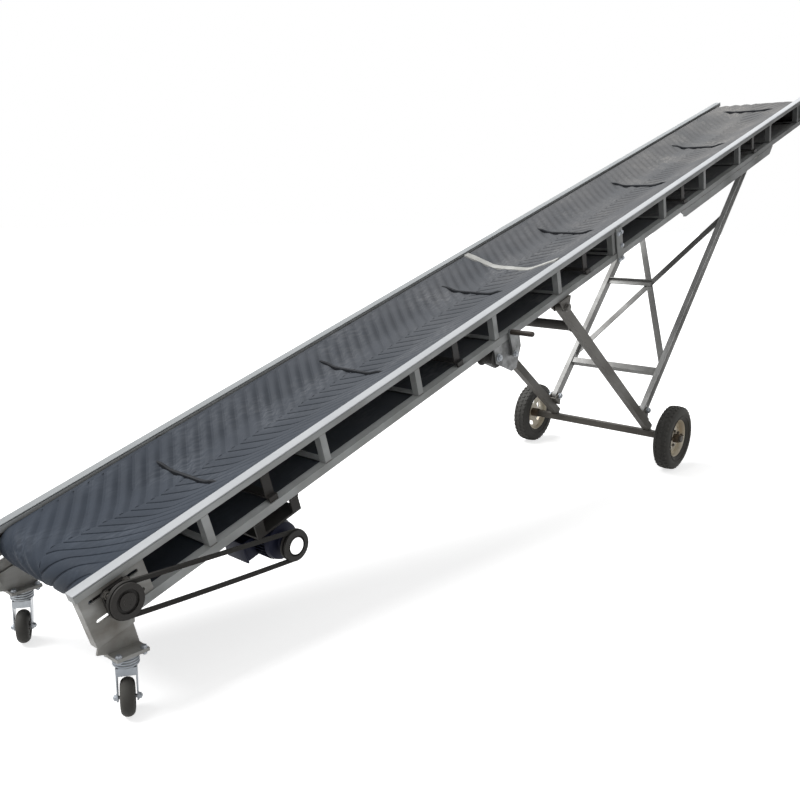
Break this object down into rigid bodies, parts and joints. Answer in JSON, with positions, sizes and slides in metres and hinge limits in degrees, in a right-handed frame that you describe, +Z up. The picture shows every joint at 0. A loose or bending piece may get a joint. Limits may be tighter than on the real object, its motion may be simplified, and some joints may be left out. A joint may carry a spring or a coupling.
{
  "type": "mobile belt conveyor",
  "caption": "Inclined mobile belt conveyor: ladder frame with a troughed cleated belt, tail casters, and a wheeled leg frame folded by a hand winch to set the slope.",
  "frame": {"origin": "centre of the machine's box, on the floor", "axes": "+X from the low tail to the high head, +Y to the left side, +Z up"},
  "size_m": [6.3492, 1.12, 2.4344],
  "materials": {
    "galvanised": "satin galvanised",
    "leg_steel": "satin grey",
    "zinc": "bright zinc",
    "dark_steel": "satin black",
    "motor_paint": "satin navy",
    "belt_rubber": "matt",
    "pale_rubber": "matt",
    "tyre_rubber": "matt",
    "rim_paint": "satin tan"
  },
  "bodies": {
    "boom": {"belt": "belt_rubber", "belt_joint_strip": "pale_rubber", "bottom_chords": "galvanised", "caster_brackets": "zinc", "cross_bars": "galvanised", "drive_belt": "belt_rubber", "drive_motor": "motor_paint", "drive_pulleys": "dark_steel", "drum_bearings": "dark_steel", "head_drum": "dark_steel", "head_plates": "galvanised", "idler_frames": "zinc", "idler_rolls": "dark_steel", "leg_brackets": "galvanised", "motor_mount": "galvanised", "posts": "galvanised", "return_rolls": "dark_steel", "splice_plates": "galvanised", "tail_drum": "dark_steel", "tail_plates": "galvanised", "top_chords": "galvanised", "track_ledges": "galvanised", "track_webs": "galvanised", "winch_crank": "dark_steel", "winch_drum": "dark_steel", "winch_frame": "zinc"},
    "front_legs": {"front_leg_left": "leg_steel", "front_leg_right": "leg_steel", "front_cross_tube": "leg_steel", "axle_beam": "leg_steel"},
    "rear_legs": {"rear_brace_a": "leg_steel", "rear_brace_b": "leg_steel", "rear_cross_bars": "leg_steel", "rear_leg_left": "leg_steel", "rear_leg_right": "leg_steel", "roller_shaft": "zinc"},
    "wheel_left": {"tyre_left": "tyre_rubber", "rim_left": "rim_paint"},
    "caster_swivel_left": {"caster_fork_left": "zinc"},
    "caster_roll_left": {"caster_wheel_left": "tyre_rubber"},
    "wheel_right": {"tyre_right": "tyre_rubber", "rim_right": "rim_paint"},
    "caster_swivel_right": {"caster_fork_right": "zinc"},
    "caster_roll_right": {"caster_wheel_right": "tyre_rubber"}
  },
  "joints": [
    {"name": "front_leg_lift", "type": "hinge", "parent": "boom", "child": "front_legs", "pos_m": [-0.37709, 0, 1.09173], "axis": [0, 1, 0], "range_deg": [-12, 12]},
    {"name": "rear_leg_fold", "type": "hinge", "parent": "front_legs", "child": "rear_legs", "pos_m": [0.77521, 0, 0.35451], "axis": [0, -1, 0], "range_deg": [-18.27, 18.27]},
    {"name": "wheel_spin_left", "type": "hinge", "parent": "front_legs", "child": "wheel_left", "pos_m": [0.81507, 0.5, 0.2], "axis": [0, 1, 0], "continuous": true},
    {"name": "caster_turn_left", "type": "hinge", "parent": "boom", "child": "caster_swivel_left", "pos_m": [-3.00963, 0.346, 0.215], "axis": [0, 0, 1], "continuous": true},
    {"name": "caster_spin_left", "type": "hinge", "parent": "caster_swivel_left", "child": "caster_roll_left", "pos_m": [-3.02641, 0.32113, 0.0625], "axis": [-0.829, 0.5592, 0], "continuous": true},
    {"name": "wheel_spin_right", "type": "hinge", "parent": "front_legs", "child": "wheel_right", "pos_m": [0.81507, -0.5, 0.2], "axis": [0, 1, 0], "continuous": true},
    {"name": "caster_turn_right", "type": "hinge", "parent": "boom", "child": "caster_swivel_right", "pos_m": [-3.00963, -0.346, 0.215], "axis": [0, 0, 1], "continuous": true},
    {"name": "caster_spin_right", "type": "hinge", "parent": "caster_swivel_right", "child": "caster_roll_right", "pos_m": [-3.02641, -0.37087, 0.0625], "axis": [-0.829, 0.5592, 0], "continuous": true}
  ],
  "couplings": [
    {"joint": "rear_leg_fold", "follows": "front_leg_lift", "ratio": 1.514}
  ]
}
